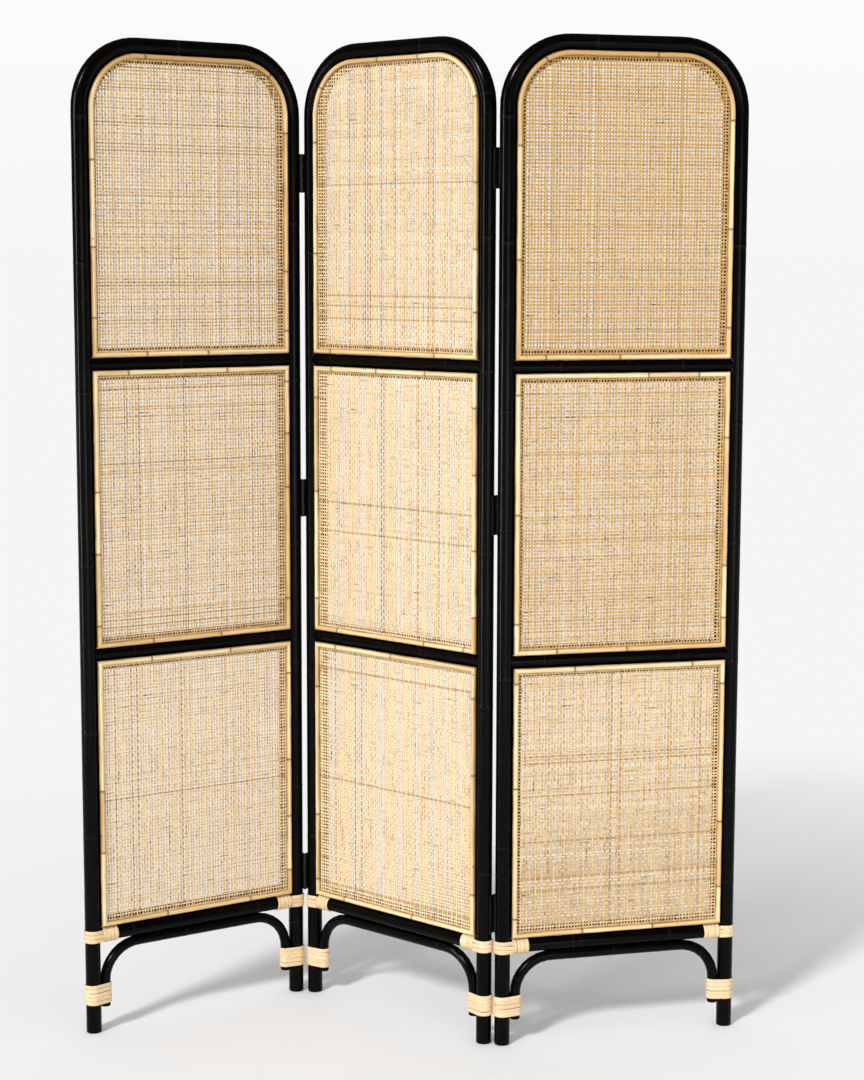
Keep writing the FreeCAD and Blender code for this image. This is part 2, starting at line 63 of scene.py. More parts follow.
# The arch seats with its legs against the posts and its top against the rail
archInset = panelSizes["poleRadius"] + panelSizes["archRadius"] + panelSizes["seatGap"]
archTop = panelSizes["rail"] - panelSizes["railRadius"] - panelSizes["archRadius"] - panelSizes["seatGap"]


# The three framed spaces between the posts: from bar to bar, up to the pole, and down to the peel on the rail
def framedSpaces(sizes):
    pole, bar = sizes["poleRadius"], sizes["barRadius"]
    railTop = sizes["rail"] + sizes["railRadius"] + sizes["peelClear"]
    spaces = {
        "upper": (sizes["upperBar"] + bar, sizes["poleTop"] - pole, sizes["poleBend"] - pole),
        "middle": (sizes["lowerBar"] + bar, sizes["upperBar"] - bar, 0.0),
        "lower": (railTop, sizes["lowerBar"] - bar, 0.0),
    }
    half = sizes["halfSpacing"] - pole
    return {
        name: {"half": half, "bottom": bottom, "top": top, "corner": corner}
        for name, (bottom, top, corner) in spaces.items()}


openings = framedSpaces(panelSizes)

# Which posts carry hinges: side of the panel, and the face that the pin stands on
hingedPosts = {
    "left": [(1, -1)],
    "middle": [(-1, -1), (1, 1)],
    "right": [(-1, 1)],
}

upward = np.array([0.0, 0.0, 1.0])


# Panel millimetres to row metres: middle of the feet + x from left to right foot + y square to it + z up
def toRow(panel, points):
    feet = {mount["name"]: np.array(mount["pos_m"]) for mount in frame["record"]["mounts"]}
    left, right = (feet[panel + "_panel_" + side + "_foot"] for side in ("left", "right"))
    along = (right - left) / np.linalg.norm(right - left)
    square = np.array([-along[1], along[0], 0.0])
    moved = points[:, :1] * along + points[:, 1:2] * square + points[:, 2:] * upward
    return (left + right) / 2 + moved / 1000


# Quads from rings of points to other rings: a point, the next one round, and the same two of the other ring
def ringQuads(begins, others, columns):
    here = np.arange(columns)
    beyond = (here + 1) % columns
    first, other = begins[:, None], others[:, None]
    return np.stack([first + here, first + beyond, other + beyond, other + here], -1).reshape(-1, 4)


# Faces turned outward: the sum of a . (b x c) over the triangles of a closed shape is positive
def faceOutward(shape):
    quads = shape["quads"]
    corners = np.concatenate([quads[:, [0, 1, 2]], quads[:, [0, 2, 3]], shape["tris"]])
    middle = shape["points"].mean(0)
    a, b, c = (shape["points"][corners[:, i]] - middle for i in range(3))
    if np.einsum("ij,ij->", a, np.cross(b, c)) < 0:
        shape["quads"] = quads[:, ::-1]
        shape["tris"] = shape["tris"][:, ::-1]
    return shape


# A closed skin over a grid of section rings: quads between rings and a fan at each end, or a ring of rings
def skin(grid, grain, mark, toneAndShade, ring=False):
    rows, columns = grid.shape[:2]
    begins = np.arange(rows if ring else rows - 1) * columns
    shape = {
        "points": grid.reshape(-1, 3),
        "grain": np.broadcast_to(grain, grid.shape).reshape(-1, 3),
        "mark": np.broadcast_to(mark, grid.shape[:2]).ravel(),
        "toneAndShade": np.broadcast_to(toneAndShade, grid.shape[:2]).ravel(),
        "quads": ringQuads(begins, (begins + columns) % (rows * columns), columns),
        "tris": np.zeros((0, 3), int),
    }
    if not ring:
        around = np.arange(columns)
        nextOne = (around + 1) % columns
        last = (rows - 1) * columns
        centre = np.full(columns, rows * columns)
        start = np.stack([centre, nextOne, around], 1)
        finish = np.stack([centre + 1, last + around, last + nextOne], 1)
        shape["tris"] = np.concatenate([start, finish])
        shape["points"] = np.concatenate([shape["points"], [grid[0].mean(0), grid[-1].mean(0)]])
        for key in ("grain", "mark", "toneAndShade"):
            shape[key] = np.concatenate([shape[key], shape[key][[0, -1]]])
    return faceOutward(shape)


# Several shapes as one: their points in a row, and each one's faces counted on from the last
def joinShapes(shapes):
    starts = np.cumsum([0] + [len(shape["points"]) for shape in shapes[:-1]])
    joined = {}
    for key in ("points", "grain", "mark", "toneAndShade"):
        joined[key] = np.concatenate([shape[key] for shape in shapes])
    for key in ("quads", "tris"):
        joined[key] = np.concatenate([shape[key] + start for shape, start in zip(shapes, starts)])
    return joined


# A new object in the scene
def addObject(name, data):
    made = bpy.data.objects.new(name, data)
    bpy.context.scene.collection.objects.link(made)
    return made


# A mesh piece of a panel from a shape, with its grain, mark and tone kept as attributes. On the trim and the
# cane the tone also carries painted shade.
def newPiece(name, panel, shape, slot, nodes, sharp):
    mesh = bpy.data.meshes.new(name)
    loops = np.concatenate([shape["quads"].ravel(), shape["tris"].ravel()]).astype(np.int32)
    quadStarts = np.arange(len(shape["quads"])) * 4
    triStarts = len(shape["quads"]) * 4 + np.arange(len(shape["tris"])) * 3
    mesh.vertices.add(len(shape["points"]))
    mesh.vertices.foreach_set("co", toRow(panel, shape["points"]).astype(np.float32).ravel())
    mesh.loops.add(len(loops))
    mesh.loops.foreach_set("vertex_index", loops)
    mesh.polygons.add(len(quadStarts) + len(triStarts))
    mesh.polygons.foreach_set("loop_start", np.concatenate([quadStarts, triStarts]).astype(np.int32))
    mesh.update(calc_edges=True)
    mesh.polygons.foreach_set("use_smooth", np.ones(len(mesh.polygons), bool))
    mesh.set_sharp_from_angle(angle=math.radians(sharp))
    mesh.attributes.new("grain", "FLOAT_VECTOR", "POINT").data.foreach_set(
        "vector", shape["grain"].astype(np.float32).ravel())
    for key in ("mark", "toneAndShade"):
        mesh.attributes.new(key, "FLOAT", "POINT").data.foreach_set("value", shape[key].astype(np.float32))
    mesh.materials.append(slotLooks[slot])
    piece = addObject(name, mesh)
    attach(piece, panel + "_panel")
    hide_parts(*nodes)
    return piece


# Even angles round a full turn
def fullTurn(steps):
    return np.linspace(0, 2 * np.pi, steps, endpoint=False)


# A ring for each radius, by even steps: the radius times cosine and sine
def ringsOf(radii, steps):
    angles = fullTurn(steps)
    return radii[:, None] * np.cos(angles), radii[:, None] * np.sin(angles)


# A slow wander between -1 and 1: three sine waves of unlike lengths, each begun at random
def wander(places, random, lengths=(61.0, 143.0, 310.0)):
    starts = random.uniform(0, 2 * np.pi, len(lengths))
    return sum(np.sin(2 * np.pi * places / length + start) for length, start in zip(lengths, starts)) / 3


# Joints of rattan: their distance from a rod's ends, a bell with a neck past it, a dark ring, and close rows
nodeForm = {
    "fromEnd": 25,
    "firstShare": (0.3, 0.8),
    "bell": 3.4,
    "neckDepth": 0.3,
    "neckPlace": 8,
    "neck": 4,
    "ring": 1.8,
    "rows": np.array([-9.0, -6.0, -4.0, -2.5, -1.2, 0.0, 1.2, 2.5, 4.0, 6.0, 9.0]),
    "closest": 0.5,
}


# Nodes along a rod: a random start, then random steps
def nodePlaces(length, random, shortest, longest):
    steps = random.uniform(shortest, longest, int(length / shortest) + 2)
    places = np.cumsum(steps) - random.uniform(*nodeForm["firstShare"]) * longest
    return places[(places > nodeForm["fromEnd"]) & (places < length - nodeForm["fromEnd"])]


# Rows along a rod: even steps, with close ones about each node
def rodRows(start, stop, step, nodes):
    even = np.linspace(start, stop, int((stop - start) / step) + 2)
    about = (nodes[:, None] + nodeForm["rows"]).ravel()
    rows = np.sort(np.concatenate([even, about[(about > start) & (about < stop)]]))
    kept = rows[np.concatenate([[True], np.diff(rows) > nodeForm["closest"]])]
    kept[-1] = stop
    return kept


# Rise of a rod at its nodes: a low bell at each, less a shallow neck just past it
def nodeRise(places, nodes):
    away = places[..., None] - nodes
    neck = nodeForm["neckDepth"] * np.exp(-((away - nodeForm["neckPlace"]) / nodeForm["neck"]) ** 2)
    return (np.exp(-(away / nodeForm["bell"]) ** 2) - neck).sum(-1)


# How near a place is to a node: a narrow bell at each
def nodeMark(places, nodes):
    return np.exp(-((places[..., None] - nodes) / nodeForm["ring"]) ** 2).sum(-1)


# Radius of a rod along it: full at the nodes, less by the node height between them, with a slow waver
def rodSize(rows, nodes, radius, look, random):
    size = radius - look["nodeHeight"] * (1 - nodeRise(rows, nodes)) + look["waver"] * wander(rows, random)
    return np.minimum(size, radius)


# A hoop by distance along it: up the left, a quarter turn, across, a quarter turn, down the right. Gives x, z
# and the direction to the inside.
def hoopAt(places, half, bottom, top, bend):
    leg = top - bend - bottom
    turn = np.pi / 2 * bend
    flat = 2 * (half - bend)
    first = np.clip((places - leg) / bend, 0, np.pi / 2)
    second = np.clip((places - leg - turn - flat) / bend, 0, np.pi / 2)
    across = np.clip(places - leg - turn, 0, flat)
    down = np.clip(places - leg - 2 * turn - flat, 0, None)
    x = -half + bend * (1 - np.cos(first)) + across + bend * np.sin(second)
    z = bottom + np.minimum(places, leg) + bend * np.sin(first) - bend * (1 - np.cos(second)) - down
    return x, z, np.cos(first + second), -np.sin(first + second)


# Length of a hoop: two legs, two quarter turns and the flat between them
def hoopLength(half, bottom, top, bend):
    return 2 * (top - bend - bottom) + np.pi * bend + 2 * (half - bend)


poleLook = {
    "columns": 32,
    "step": 14.0,
    "endRounding": 2.0,
    "endSteps": 5,
    "endClear": 2.0,
    "copeClear": 3.0,
    "flatEdge": 0.01,
    "nodeHeight": 0.22,
    "nodeSpacing": (170.0, 330.0),
    "waver": 0.05,
}


# A round rod bent into a hoop. Its radius falls on a quarter circle at the cut ends, and a flat holds the
# section back to a seat, square to the direction given.
def hoopRod(half, bottom, top, bend, radius, random, flats=()):
    look = poleLook
    length = hoopLength(half, bottom, top, bend)
    nodes = nodePlaces(length, random, *look["nodeSpacing"])
    rounding = look["endRounding"]
    ease = rounding * (1 - np.cos(np.linspace(0, np.pi / 2, look["endSteps"])))
    beside = np.array([[-look["flatEdge"], 0.0], [0.0, look["flatEdge"]]])
    edges = np.array([flat[:2] for flat in flats]).reshape(-1, 2, 1) + beside
    inner = rodRows(rounding + look["endClear"], length - rounding - look["endClear"], look["step"], nodes)
    rows = np.unique(np.concatenate([ease, inner, length - ease, edges.ravel()]))
    fromEnd = np.clip(1 - np.minimum(rows, length - rows) / rounding, 0, 1)
    size = rodSize(rows, nodes, radius, look, random) - rounding * (1 - np.sqrt(1 - fromEnd**2))
    inward, depth = ringsOf(size, look["columns"])
    for low, high, seat, towardIn, towardBack in flats:
        over = np.clip(inward * towardIn + depth * towardBack - seat, 0, None)
        over *= ((rows >= low) & (rows <= high))[:, None]
        inward = inward - over * towardIn
        depth = depth - over * towardBack
    x, z, inX, inZ = hoopAt(rows, half, bottom, top, bend)
    grid = np.stack([x[:, None] + inX[:, None] * inward, depth, z[:, None] + inZ[:, None] * inward], -1)
    along = np.broadcast_to(rows[:, None], inward.shape)
    return skin(grid, np.stack([inward, depth, along], -1), nodeMark(rows, nodes)[:, None], 0.5)


# The flats of a panel's pole, as places along it and the direction that each faces
def poleFlats(panel):
    length = hoopLength(panelSizes["halfSpacing"], 0, panelSizes["poleTop"], panelSizes["poleBend"])
    reach = hingeSizes["length"] / 2 + hingeSizes["gap"]
    turn = hingeSizes["turn"]
    flats = []
    for side, face in hingedPosts[panel]:
        towards = (-math.cos(turn), face * math.sin(turn))
        for height in hingeSizes["heights"]:
            place = height if side < 0 else length - height
            flats.append((place - reach, place + reach, hingeSizes["seat"], *towards))
    return flats


# A bar between the posts. Each end is coped: at depth y it stops at half the spacing less the root of the
# post's radius squared less y squared.
def crossBar(height, radius, random):
    look = poleLook
    spacing = panelSizes["halfSpacing"]
    post = panelSizes["poleRadius"] + panelSizes["seatGap"]
    reach = spacing - post
    nodes = nodePlaces(2 * reach, random, *look["nodeSpacing"]) - reach
    rows = rodRows(look["copeClear"] - reach, reach - look["copeClear"], look["step"], nodes)
    rows = np.concatenate([[-reach], rows, [reach]])
    size = rodSize(rows, nodes, radius, look, random)
    rise, depth = ringsOf(size, look["columns"])
    x = np.repeat(rows[:, None], look["columns"], 1)
    for end in (0, -1):
        x[end] = np.sign(rows[end]) * (spacing - np.sqrt(post**2 - depth[end] ** 2))
    grid = np.stack([x, depth, height + rise], -1)
    return skin(grid, np.stack([rise, depth, x], -1), nodeMark(rows, nodes)[:, None], 0.5)


# A rod along an edge of an opening, by its section about a centre inward of the edge. The ends are mitred: a
# point u inward ends u short of the corner. Each length between nodes has its own tone, and the top of a hoop
# is painted darker by a share of how far it faces down: painted shade under the pole.
def edgeRod(pathAt, length, section, random, paintedShade=0.0):
    nodes = nodePlaces(length, random, *section["nodeSpacing"])
    deepest = section["inward"] + section["across"].max() + poleLook["endClear"]
    rows = np.concatenate([[0.0], rodRows(deepest, length - deepest, section["step"], nodes), [length]])
    size = rodSize(rows, nodes, 1.0, section, random)[:, None]
    sway = section["sway"] * wander(rows, random, edgeLook["sway"])[:, None]
    inward = section["inward"] + sway + size * section["across"]
    depth = section["depth"] + size * section["deep"]
    places = np.repeat(rows[:, None], inward.shape[1], 1)
    places[0] = inward[0] + section["mitreGap"]
    places[-1] = length - inward[-1] - section["mitreGap"]
    x, z, inX, inZ = pathAt(places)
    grid = np.stack([x + inX * inward, depth, z + inZ * inward], -1)
    grain = np.stack([inward, depth, places + random.uniform(0, edgeLook["grainStart"])], -1)
    tones = random.uniform(0.0, 1.0, len(nodes) + 1)
    # Painted shade: the top of a hoop is darker where it faces down, under the pole
    toneAndShade = tones[np.searchsorted(nodes, rows)][:, None] + paintedShade * np.maximum(-inZ, 0.0)
    return skin(grid, grain, nodeMark(rows, nodes)[:, None], toneAndShade)


# The rods round an opening: straight ones by x or z along the edge, and a round top as one hoop
def edgeRods(opening, section, random, paintedShade=0.0):
    half, bottom, top, corner = (opening[key] for key in ("half", "bottom", "top", "corner"))

    # x grows along a level edge, and its inside is above or below
    def level(height, inside):
        return (lambda places: (places - half, height, 0.0, inside)), 2 * half

    # z grows along an upright edge, and its inside is towards the middle
    def upright(side):
        return (lambda places: (side * half, bottom + places, -side, 0.0)), top - bottom

    hoop = (half, bottom, top, corner)
    paths = [level(bottom, 1.0), ((lambda places: hoopAt(places, *hoop)), hoopLength(*hoop))]
    if not corner:
        paths = [level(bottom, 1.0), level(top, -1.0), upright(-1.0), upright(1.0)]
        # Straight rods get no painted shade
        paintedShade = 0.0
    return joinShapes([edgeRod(*path, section, random, paintedShade) for path in paths])


# Wave lengths of a rod's sway along its edge, and the range of places where its grain may start
edgeLook = {"sway": (83.0, 190.0, 37.0), "grainStart": 4000.0}

# Backing rods: a full circle
backingRadius = 9.0
roundAngles = fullTurn(20)
backingSection = {
    "inward": 8.6,
    "depth": 3.0,
    "across": backingRadius * np.cos(roundAngles),
    "deep": backingRadius * np.sin(roundAngles),
    "nodeHeight": 0.005,
    "nodeSpacing": (150.0, 300.0),
    "waver": 0.0,
    "sway": 0.0,
    "step": 16.0,
    "mitreGap": 0.05,
}

# Half-round trim: a half circle over a low shoulder, flat on the cane
trimRadius = 5.0
trimShoulder = 1.0
halfAngles = np.linspace(0, np.pi, 13)
trimSection = {
    "inward": 5.3,
    "depth": -9.4,
    "across": np.concatenate([-trimRadius * np.cos(halfAngles), [trimRadius, -trimRadius]]),
    "deep": np.concatenate([-trimRadius * np.sin(halfAngles), [trimShoulder, trimShoulder]]),
    "nodeHeight": 0.05,
    "nodeSpacing": (90.0, 260.0),
    "waver": 0.04,
    "sway": 0.3,
    "step": 7.0,
    "mitreGap": 0.12,
}

weaveLook = {
    "margin": 2.5,
    "pitch": (5.6, 6.0),
    "width": (2.6, 2.8),
    "loose": 0.07,
    "thickness": 1.0,
    "lift": 0.55,
    "middle": -7.2,
    "shortest": 0.2,
    "drift": 0.4,
    "driftSkew": (0.35, 0.4),
    "driftLengths": ((130.0, 290.0, 71.0), (110.0, 240.0, 64.0)),
    "widthSpread": 0.07,
    "widthLimits": (0.8, 1.15),
    "toneSpread": 0.15,
    "brownShare": 0.06,
    "brownTone": 3.0,
    "grainStep": 17.3,
    "grainShift": 2000,
    "sharp": 40,
}

# Section of a strand: place across it in widths, and height in half thicknesses. A cap is two quads.
strandSection = np.array([[-0.5, 0.55], [-0.5, -0.55], [0.0, -1.0], [0.5, -0.55], [0.5, 0.55], [0.0, 1.0]])
strandCap = np.array([[0, 1, 2, 3], [0, 3, 4, 5]])


# Strands of one direction: a crowned section at every crossing, lifted over and under by turns. Crossings
# past a strand's ends are drawn back to them, and faces that then have no length are left out.
def strandSkins(along, aside, lift, ends, widths, level, ageAndShade, random):
    look = weaveLook
    strands, count = along.shape
    along = np.clip(along, ends[0][:, None], ends[1][:, None])
    corners = len(strandSection)
    side = aside[..., None] + widths[:, None, None] * strandSection[:, 0]
    depth = look["middle"] + lift[..., None] + look["thickness"] / 2 * strandSection[:, 1]
    length = np.repeat(along[..., None], corners, -1)
    points = np.stack([length, depth, side] if level else [side, depth, length], -1)
    first = (np.arange(strands * count) * corners).reshape(strands, count)
    solid = np.diff(along, axis=1) > look["shortest"]
    begins = first[:, :-1][solid]
    quads = ringQuads(begins, begins + corners, corners)
    starts = first[np.arange(strands), solid.argmax(1)]
    stops = first[np.arange(strands), count - 1 - solid[:, ::-1].argmax(1)]
    caps = np.concatenate([starts[:, None, None] + strandCap[:, ::-1], stops[:, None, None] + strandCap])
    quads = np.concatenate([quads, caps.reshape(-1, 4)])
    used, quads = np.unique(quads, return_inverse=True)
    number = np.repeat(np.arange(strands), count * corners)
    grain = np.stack([
        number * look["grainStep"] + level * look["grainShift"],
        np.tile(2 * strandSection[:, 0], strands * count),
        length.ravel(),
    ], -1)
    brown = look["brownTone"] * (random.random(strands) < look["brownShare"])
    # Each strand's tone carries its section's age and painted shade, and a random spread
    toneAndShade = (ageAndShade + random.normal(0, look["toneSpread"], strands) + brown)[number]
    shape = {
        "points": points.reshape(-1, 3)[used],
        "quads": quads.reshape(-1, 4),
        "tris": np.zeros((0, 3), int),
        "grain": grain[used],
        "mark": np.full(len(used), float(level)),
        "toneAndShade": toneAndShade[used],
    }
    return faceOutward(shape)


# Even places between two ends, each moved a little by chance
def looseSteps(low, high, pitch, random):
    count = int(round((high - low) / pitch))
    loose = random.normal(0, weaveLook["loose"], count)
    return low + (np.arange(count) + 0.5 + loose) * (high - low) / count


# A plain weave that fills an opening. A crossing of column c and row r lies at its place plus a slow drift,
# over where c + r is even and under where it is odd. A round top ends each strand on its quarter circles.
def weaveShape(opening, ageAndShade, fullness, random):
    look = weaveLook
    margin = look["margin"]
    half = opening["half"] - margin
    low = opening["bottom"] + margin
    high = opening["top"] - margin
    bend = max(opening["corner"] - margin, 0.0)
    columns = looseSteps(-half, half, look["pitch"][0], random)
    rows = looseSteps(low, high, look["pitch"][1], random)
    over = (np.arange(len(columns))[:, None] + np.arange(len(rows))) % 2 * 2.0 - 1
    lift = look["lift"] * over
    acrossAt, upAt = columns[:, None], rows[None, :]
    skew, lengths = look["driftSkew"], look["driftLengths"]
    x = acrossAt + look["drift"] * wander(upAt + skew[0] * acrossAt, random, lengths[0])
    z = upAt + look["drift"] * wander(acrossAt + skew[1] * upAt, random, lengths[1])

    # Height of a quarter circle: the root of its radius squared less the distance in it squared
    def quarter(within):
        return np.sqrt(np.clip(bend**2 - np.clip(within, 0, None) ** 2, 0, None))

    # One more value at each end of every strand
    def padded(values, first, last):
        shape = values[:, :1].shape
        return np.concatenate([np.broadcast_to(first, shape), values, np.broadcast_to(last, shape)], 1)

    # Strands of one direction, each of about the common width, with one more crossing at either end
    def layer(along, aside, lift, first, last, ends, level):
        share = random.normal(1, look["widthSpread"], len(along)).clip(*look["widthLimits"])
        widths = look["width"][level] * fullness * share
        return strandSkins(
            padded(along, first, last), padded(aside, aside[:, :1], aside[:, -1:]), padded(lift, 0.0, 0.0),
            ends, widths, level, ageAndShade, random)

    tops = high - bend + quarter(np.abs(columns) - half + bend)
    reach = half - bend + quarter(rows - high + bend)
    uprights = layer(z, x, lift, low, high, (np.full(len(columns), low), tops), 0)
    levels = layer(x.T, z.T, -lift.T, -half, half, (-reach, reach), 1)
    return joinShapes([uprights, levels])


bindingLook = {
    "pitch": 7.4,
    "width": 7.35,
    "thickness": 1.95,
    "postTurns": 3,
    "railTurns": 4,
    "footTurns": 5,
    "footBottom": 53.0,
    "tilt": 0.35,
    "widthRange": (0.95, 1.03),
    "railClear": 2.0,
    "sinkShare": 0.9,
    "grainStart": 3000.0,
    "arcSteps": 19,
    "straightSteps": 6,
    "ringSteps": 40,
    "footSteps": (26, 18),
}

# Section of a strip of peel: place across it in widths, and height in thicknesses
stripAcross = np.array([-0.47, -0.5, -0.43, -0.28, -0.1, 0.1, 0.28, 0.43, 0.5, 0.47])
stripOut = np.array([0.02, 0.5, 0.78, 0.92, 0.99, 1.0, 0.93, 0.79, 0.5, 0.02])


# A strip of peel laid along a path in a plane: each point goes out along the path's normal by the section's
# height, and across the plane by its width, with a slight slant that changes along the strip
def strip(path, normals, level, toPoint, random, ring):
    look = bindingLook
    width = look["width"] * random.uniform(*look["widthRange"])
    turns = np.linspace(0, 2 * np.pi, len(path), endpoint=not ring)
    slant = look["tilt"] * np.sin(turns + random.uniform(0, 2 * np.pi))
    out = look["thickness"] * stripOut
    flat = path[:, None, :] + normals[:, None, :] * out[:, None]
    across = level + slant[:, None] + width * stripAcross
    grid = toPoint(flat[..., 0], flat[..., 1], across)
    lengths = np.concatenate([[0.0], np.cumsum(np.linalg.norm(np.diff(path, axis=0), axis=1))])
    along = np.broadcast_to(lengths[:, None], across.shape) + random.uniform(0, look["grainStart"])
    grain = np.stack([across - level, np.broadcast_to(out, across.shape), along], -1)
    return skin(grid, grain, 0.0, random.uniform(0, 1), ring)


# Places by a post: u outward of its axis, depth y, height z
def byPost(side):
    return lambda u, y, z: np.stack([side * (panelSizes["halfSpacing"] + u), y, z], -1)


# Places by the rail: depth y, z above its axis, x from the panel's middle
def byRail(side):
    return lambda y, z, x: np.stack([side * x, y, panelSizes["rail"] + z], -1)


# Both ends of the rail: strips round the outside of each post, eased onto the rail, and rings round the rail
def railBindings(random):
    look = bindingLook
    gap = panelSizes["seatGap"]
    inside = panelSizes["poleRadius"] + gap
    railInside = panelSizes["railRadius"] + gap
    railEnd = panelSizes["poleRadius"] + look["railClear"]
    angles = np.linspace(-np.pi / 2, np.pi / 2, look["arcSteps"])
    arc = inside * np.stack([np.cos(angles), np.sin(angles)], 1)
    straight = np.linspace(-railEnd, 0, look["straightSteps"], endpoint=False)
    share = np.clip(-straight / railEnd, 0, 1)
    facing = np.tile([0.0, 1.0], (len(straight), 1))
    postNormals = np.concatenate([-facing, arc / inside, facing])
    around = fullTurn(look["ringSteps"])
    railNormals = np.stack([np.sin(around), np.cos(around)], 1)
    shapes = []
    for side in (-1, 1):
        for turn in range(look["postTurns"]):
            offset = (turn + 0.5 - look["postTurns"] / 2) * look["pitch"]
            sunk = inside - math.sqrt(railInside**2 - (look["sinkShare"] * offset) ** 2)
            ease = inside - sunk * share**2 * (3 - 2 * share)
            front = np.stack([straight, -ease], 1)
            back = np.stack([straight[::-1], ease[::-1]], 1)
            path = np.concatenate([front, arc, back])
            shapes.append(strip(path, postNormals, panelSizes["rail"] + offset, byPost(side), random, False))
        for turn in range(look["railTurns"]):
            start = panelSizes["halfSpacing"] - railEnd - gap - (turn + 0.5) * look["pitch"]
            shapes.append(strip(railInside * railNormals, railNormals, start, byRail(side), random, True))
    return joinShapes(shapes)


# Both feet: rings round post and arch leg together. A ring follows the post's circle where its normal faces
# outward and the leg's where it faces inward, and runs straight between the two.
def footBindings(random):
    look = bindingLook
    post = panelSizes["poleRadius"] + panelSizes["seatGap"]
    leg = panelSizes["archRadius"] + panelSizes["seatGap"]
    touch = math.acos(-(post - leg) / archInset)
    steps, legSteps = look["footSteps"]
    outer = np.linspace(-touch, touch, steps)
    angles = np.concatenate([outer, np.linspace(touch, 2 * np.pi - touch, legSteps)])
    normals = np.stack([np.cos(angles), np.sin(angles)], 1)
    path = np.concatenate([post * normals[:steps], leg * normals[steps:] - [archInset, 0.0]])
    shapes = []
    for side in (-1, 1):
        for turn in range(look["footTurns"]):
            level = look["footBottom"] + (turn + 0.5) * look["pitch"]
            shapes.append(strip(path, normals, level, byPost(side), random, True))
    return joinShapes(shapes)


# Butt hinges: heights of their middles, then places and sizes from the post's axis
hingeSizes = {
    "heights": (237.1, 953.5, 1552.0),
    "length": 70.0,
    "seat": 12.5,
    "turn": math.radians(19.45),
    "gap": 0.3,
    "leaf": 1.2,
    "leafBack": -6.2,
    "leafNotch": 10.6,
    "leafEase": 0.25,
    "tabLap": 0.5,
    "tabEase": 0.1,
    "knuckle": 2.55,
    "knuckleEase": 0.3,
    "bore": 1.35,
    "pinAlong": 12.82,
    "pinDepth": 15.05,
    "pinEnd": ((0.5, 0.0), (1.0, 0.12), (1.3, 0.4)),
    "roundSteps": 24,
}


# A block with eased edges: its outline is drawn in by the ease at the first and last of four levels
def easedBlock(low, high, ease):
    low, high = np.array(low), np.array(high)
    middle, half = (low + high) / 2, (high - low) / 2
    corners = np.array([[-1, -1], [1, -1], [1, 1], [-1, 1]])
    levels = np.array([-half[0], ease - half[0], half[0] - ease, half[0]])
    drawn = np.array([ease, 0.0, 0.0, ease])
    sides = corners * (half[1:] - drawn[:, None, None])
    grid = np.concatenate([np.broadcast_to(levels[:, None, None], (4, 4, 1)), sides], -1) + middle
    return skin(grid, grid, 0.0, 0.5)


# A turned shape about a line along z: radius and height go round a circle in even steps
def turnedShape(profile, closed):
    profile = np.array(profile)
    out, across = ringsOf(profile[:, 0], hingeSizes["roundSteps"])
    grid = np.stack([out, across, np.broadcast_to(profile[:, 1:], out.shape)], -1)
    return skin(grid, grid, 0.0, 0.5, closed)


# Moves a shape: each point (a, b, c) goes to a place + a first + b second + c third
def placed(shape, place, first, second, third):
    points = shape["points"]
    moved = place + points[:, :1] * first + points[:, 1:2] * second + points[:, 2:] * third
    return faceOutward(dict(shape, points=moved, grain=moved))


# Each hinge of a post: its middle on the post's axis, then outward from the axis, across the leaf towards the
# pin, and up
def hingePlaces(side, face):
    turn = hingeSizes["turn"]
    outward = np.array([side * math.cos(turn), face * math.sin(turn), 0.0])
    across = np.array([-side * math.sin(turn), face * math.cos(turn), 0.0])
    for height in hingeSizes["heights"]:
        yield np.array([side * panelSizes["halfSpacing"], 0.0, height]), outward, across, upward


# A leaf: a plate on the post's flat, with a tab and a knuckle round the pin at both outer thirds or at the
# middle one
def leafShape(outer):
    hinge = hingeSizes
    half, third, gap = hinge["length"] / 2, hinge["length"] / 6, hinge["gap"] / 2
    spans = [(-half, -third - gap), (third + gap, half)] if outer else [(gap - third, third - gap)]
    seat, notch, along = hinge["seat"], hinge["leafNotch"], hinge["pinAlong"]
    top = seat + hinge["leaf"]
    full, ease = hinge["knuckle"], hinge["knuckleEase"]
    shapes = [easedBlock((seat, hinge["leafBack"], -half), (top, notch, half), hinge["leafEase"])]
    for low, high in spans:
        tab = easedBlock((seat, notch - hinge["tabLap"], low), (top, along, high), hinge["tabEase"])
        lower = [(hinge["bore"], low), (full - ease, low), (full, low + ease)]
        upper = [(full, high - ease), (full - ease, high), (hinge["bore"], high)]
        roll = turnedShape(lower + upper, True)
        roll["points"] = roll["points"] + [hinge["pinDepth"], along, 0.0]
        shapes += [tab, roll]
    return joinShapes(shapes)


# A pin: its rounded end below, and the same end upside down at the top
def pinShape():
    hinge = hingeSizes
    half = hinge["length"] / 2
    lower = [(radius, height - half) for radius, height in hinge["pinEnd"]]
    upper = [(radius, half - height) for radius, height in reversed(hinge["pinEnd"])]
    pin = turnedShape(lower + upper, False)
    pin["points"] = pin["points"] + [hinge["pinDepth"], hinge["pinAlong"], 0.0]
    return pin


screwLook = {
    "radius": 2.8,
    "rings": (2.3, 1.9, 1.75, 1.2, 0.7, 0.3),
    "skirt": (0.25, 0.6),
    "dome": 0.22,
    "slotHalf": 0.34,
    "slotReach": 1.8,
    "slotDepth": 0.5,
    "spacing": 24.0,
}


